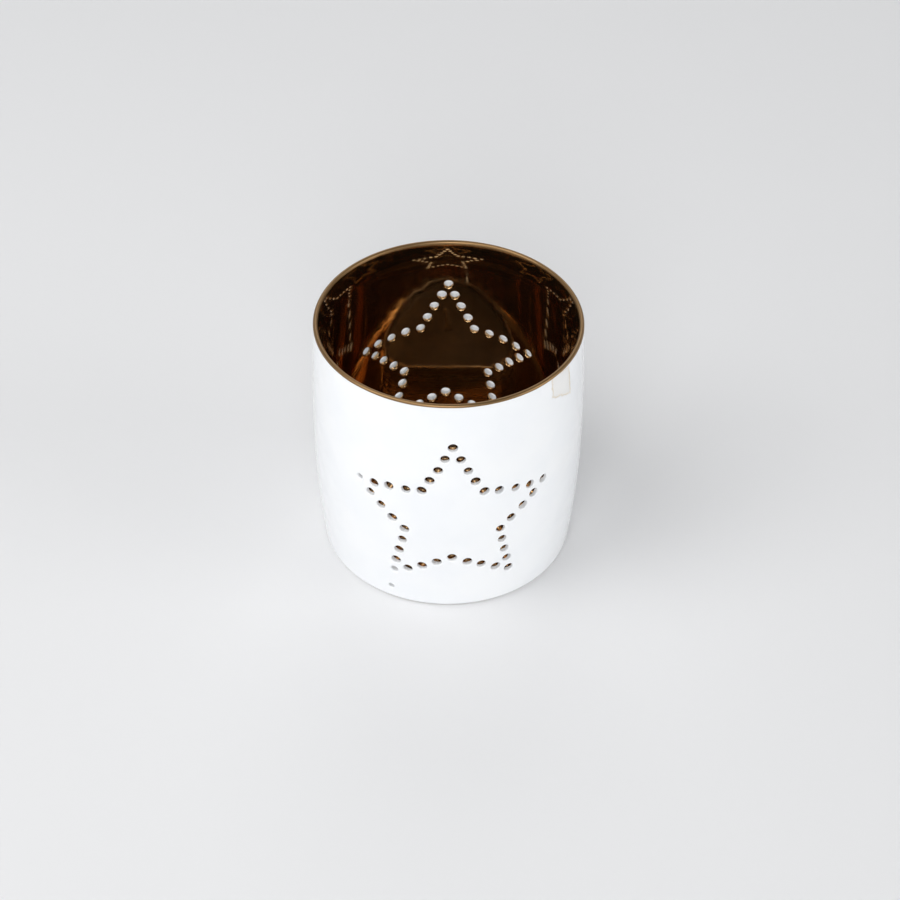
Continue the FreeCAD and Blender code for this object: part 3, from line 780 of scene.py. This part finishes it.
def gold_lustre():
    """Fired gold lustre on glaze: a warm mirror, wavy where it was brushed on, thin and dark in places."""
    nodes = Nodes("gold_lustre", Metallic=0.99, Roughness=0.05)
    streaks = nodes.noise(4.0, 2.0, place=nodes.stretched(1.0, 1.0, 0.2))
    tone = nodes.remap(nodes.math("ADD", streaks, nodes.noise(11.0, 2.0)), 0.7, 1.3)
    shine = nodes.remap(nodes.noise(2.4, 3.0), 0.3, 0.75, 0.03, 0.09)
    lip = nodes.remap(nodes.axes()[2], 0.0778, 0.0786)
    film = nodes.mix(tone, colour(0.375, 0.236, 0.116), colour(0.47, 0.298, 0.144))
    nodes.set("Base Color", nodes.mix(lip, film, colour(0.25, 0.152, 0.07)))
    nodes.set("Roughness", nodes.math("MULTIPLY_ADD", lip, 0.3, shine))
    nodes.bump(nodes.math("MULTIPLY_ADD", streaks, 0.3, nodes.noise(7.0, 1.5)), 0.045)
    return nodes.material


def can_aluminium():
    """Thin, dull, warm-toned aluminium with drawing lines round it and small handling dents, its colour
    darkened with painted shade so that it and its reflection in the gold stay as dark as the shaded inside
    of the cup.
    """
    nodes = Nodes("dull_aluminium_painted_shade", Metallic=1.0, Roughness=0.3)
    lines = nodes.noise(0.5, 3.0, place=nodes.stretched(0.05, 0.05, 1.0))
    tone = nodes.remap(nodes.noise(6.0, 3.0), 0.3, 0.7)
    # painted shade: both colours are far darker than bare aluminium, to keep the can as dark as the cup's
    # shaded inside
    nodes.set("Base Color", nodes.mix(tone, colour(0.38, 0.33, 0.27), colour(0.45, 0.40, 0.33)))
    nodes.set("Roughness", nodes.remap(lines, 0.3, 0.7, 0.22, 0.36))
    nodes.bump(nodes.math("MULTIPLY_ADD", lines, 0.05, nodes.noise(3.0)), 0.12)
    return nodes.material


def candle_wax():
    """Brown beeswax, its own brown deepened with painted shade so that it and its reflection in the gold
    stay as dark as the shaded inside of the cup: translucent, mottled, with a faint bloom and pits on its
    cast top.
    """
    nodes = Nodes("beeswax", Roughness=0.4, IOR=1.44, Subsurface_Weight=0.35, Subsurface_Scale=0.002)
    nodes.set("Subsurface Radius", (1.0, 0.5, 0.2))
    mottle = nodes.remap(nodes.noise(4.5, 4.0), 0.3, 0.7)
    bloom = nodes.math("MULTIPLY", nodes.remap(nodes.noise(1.3, 4.0, 0.7), 0.55, 0.75), 0.25)
    # painted shade: the wax's own brown is made darker than beeswax, to stand for the shade deep in the cup
    body = nodes.mix(mottle, colour(0.105, 0.072, 0.048), colour(0.14, 0.096, 0.062))
    nodes.set("Base Color", nodes.mix(bloom, body, colour(0.21, 0.16, 0.11)))
    nodes.set("Roughness", nodes.remap(nodes.noise(2.0, 3.0), 0.3, 0.7, 0.32, 0.5))
    pits = nodes.remap(nodes.noise(0.7, 2.0), 0.62, 0.72)
    nodes.bump(nodes.math("MULTIPLY_ADD", pits, -0.15, nodes.noise(3.0, 3.0)), 0.14)
    return nodes.material


def wick_cotton():
    """Waxed cotton yarn: fine fibres along the strands, a waxy sheen."""
    nodes = Nodes("waxed_cotton", Roughness=0.55, Sheen_Weight=0.3)
    fibre = nodes.noise(0.09, 3.0, place=nodes.stretched(1.0, 1.0, 0.35))
    tone = nodes.remap(fibre, 0.3, 0.7)
    nodes.set("Base Color", nodes.mix(tone, colour(0.30, 0.22, 0.13), colour(0.48, 0.38, 0.24)))
    nodes.set("Roughness", nodes.remap(nodes.noise(0.5), 0.3, 0.7, 0.4, 0.65))
    nodes.bump(fibre, 0.05)
    return nodes.material


def sustainer_tinplate():
    """Bright stamped tinplate with fine rolling lines."""
    nodes = Nodes("tinplate", Metallic=1.0, Roughness=0.3)
    lines = nodes.noise(0.2, 3.0, place=nodes.stretched(1.0, 0.04, 1.0))
    nodes.set("Base Color", nodes.mix(nodes.noise(2.5), colour(0.56, 0.56, 0.55), colour(0.66, 0.66, 0.66)))
    nodes.set("Roughness", nodes.remap(lines, 0.3, 0.7, 0.22, 0.38))
    nodes.bump(lines, 0.01)
    return nodes.material


def cover(obj, material):
    """Gives a piece its material."""
    obj.data.materials.clear()
    obj.data.materials.append(material)


def finish_piece(obj, material, body, node):
    """Gives a piece its material and its body, and hides the CAD node it stands for."""
    cover(obj, material)
    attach(obj, body)
    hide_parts(node)


# ------------------------------------------------------------------ stage


AIM = Vector((0.49, -5.07, 33.58)) * MM
CAMERA_PLACE = Vector((-23.1, -570.6, 522.2)) * MM
CAMERA_ROLL = 0.49
WALL_TOP = (0.3, 0.6)
WALL_LIGHT, CEILING_LIGHT, BACKDROP_LIGHT = 0.85, 0.25, 0.72
FLOOR_HALF, FLOOR_DROP = 4.0, 0.00002
LIGHT_TARGET = Vector((0, 0, 40)) * MM

# lights: bearing and elevation from the cup in degrees, distance and size in metres, and radiance
LIGHTS = {
    "high left": (-70, 58, 1.0, 0.7, 2.75),
    "low left": (-70, 30, 1.2, 0.7, 1.65),
    "front": (-8, 32, 3.0, 1.7, 5.2),
    "right": (70, 20, 1.2, 0.7, 2.7),
    "back": (178, 42, 1.2, 0.6, 1.6),
}


def make_floor():
    """A wide sheet of matt white paper."""
    mesh = bpy.data.meshes.new("floor")
    corners = [(-1, -1), (1, -1), (1, 1), (-1, 1)]
    points = [(x * FLOOR_HALF, y * FLOOR_HALF, -FLOOR_DROP) for x, y in corners]
    mesh.from_pydata(points, [], [(0, 1, 2, 3)])
    floor = bpy.data.objects.new("floor", mesh)
    bpy.context.collection.objects.link(floor)
    nodes = Nodes("matt_paper", Roughness=0.75)
    tone = nodes.noise(60.0)
    nodes.set("Base Color", nodes.mix(tone, colour(0.76, 0.76, 0.766), colour(0.77, 0.77, 0.776)))
    nodes.bump(nodes.noise(1.5, 3.0), 0.02)
    mesh.materials.append(nodes.material)


def area_light(name, bearing, elevation, distance, size, radiance):
    """A round soft light that faces the cup."""
    light = bpy.data.lights.new(name, "AREA")
    light.shape, light.size = "DISK", size
    light.energy = radiance * math.pi * math.pi * (size / 2) ** 2
    obj = bpy.data.objects.new(name, light)
    swing, climb = math.radians(bearing), math.radians(elevation)
    level = Vector((math.sin(swing), -math.cos(swing), 0)) * math.cos(climb)
    toward = level + Vector((0, 0, math.sin(climb)))
    obj.location = LIGHT_TARGET + toward * distance
    obj.rotation_euler = toward.to_track_quat("Z", "Y").to_euler()
    bpy.context.collection.objects.link(obj)


def make_world():
    """Pale studio walls low down and a dark ceiling. The camera sees a plain pale backdrop."""
    world = bpy.data.worlds.new("studio")
    world.use_nodes = True
    tree = world.node_tree
    place = tree.nodes.new("ShaderNodeTexCoord")
    axes = tree.nodes.new("ShaderNodeSeparateXYZ")
    walls = tree.nodes.new("ShaderNodeMapRange")
    rays = tree.nodes.new("ShaderNodeLightPath")
    level = tree.nodes.new("ShaderNodeMix")
    sockets = ("From Min", "From Max", "To Min", "To Max")
    for socket, value in zip(sockets, (*WALL_TOP, WALL_LIGHT, CEILING_LIGHT)):
        walls.inputs[socket].default_value = value
    tree.links.new(place.outputs["Generated"], axes.inputs[0])
    tree.links.new(axes.outputs["Z"], walls.inputs["Value"])
    tree.links.new(rays.outputs["Is Camera Ray"], level.inputs[0])
    tree.links.new(walls.outputs[0], level.inputs[2])
    level.inputs[3].default_value = BACKDROP_LIGHT
    tree.links.new(level.outputs[0], tree.nodes["Background"].inputs["Strength"])
    tree.nodes["Background"].inputs["Color"].default_value = (0.97, 0.985, 1.0, 1.0)
    bpy.context.scene.world = world


def make_camera():
    """A short telephoto that looks down at the cup."""
    lens = bpy.data.cameras.new("camera")
    lens.lens, lens.sensor_width = 100.0, 36.0
    camera = bpy.data.objects.new("camera", lens)
    facing = (AIM - CAMERA_PLACE).to_track_quat("-Z", "Y").to_matrix().to_4x4()
    roll = Matrix.Rotation(math.radians(CAMERA_ROLL), 4, "Z")
    camera.matrix_world = Matrix.Translation(CAMERA_PLACE) @ facing @ roll
    bpy.context.collection.objects.link(camera)
    bpy.context.scene.camera = camera


def make_stage():
    make_floor()
    make_world()
    for name, values in LIGHTS.items():
        area_light(name, *values)
    make_camera()
    bpy.context.scene.view_settings.view_transform = "Standard"
    bpy.context.scene.cycles.glossy_bounces = 10


# ------------------------------------------------------------------ main


def main():
    make_stage()
    outside = outside_outline()
    holes = punch_holes(outside)
    cup = make_porcelain(holes, outside)
    finish_piece(cup, white_porcelain(), "holder", "porcelain_cup")
    finish_piece(make_gilt(holes), gold_lustre(), "holder", "gilt_lining")
    finish_piece(make_can(), can_aluminium(), "tealight", "tealight_can")
    finish_piece(make_wax(), candle_wax(), "tealight", "tealight_wax")
    finish_piece(make_wick(), wick_cotton(), "tealight", "wick")
    cover(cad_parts["wick_sustainer"], sustainer_tinplate())


main()
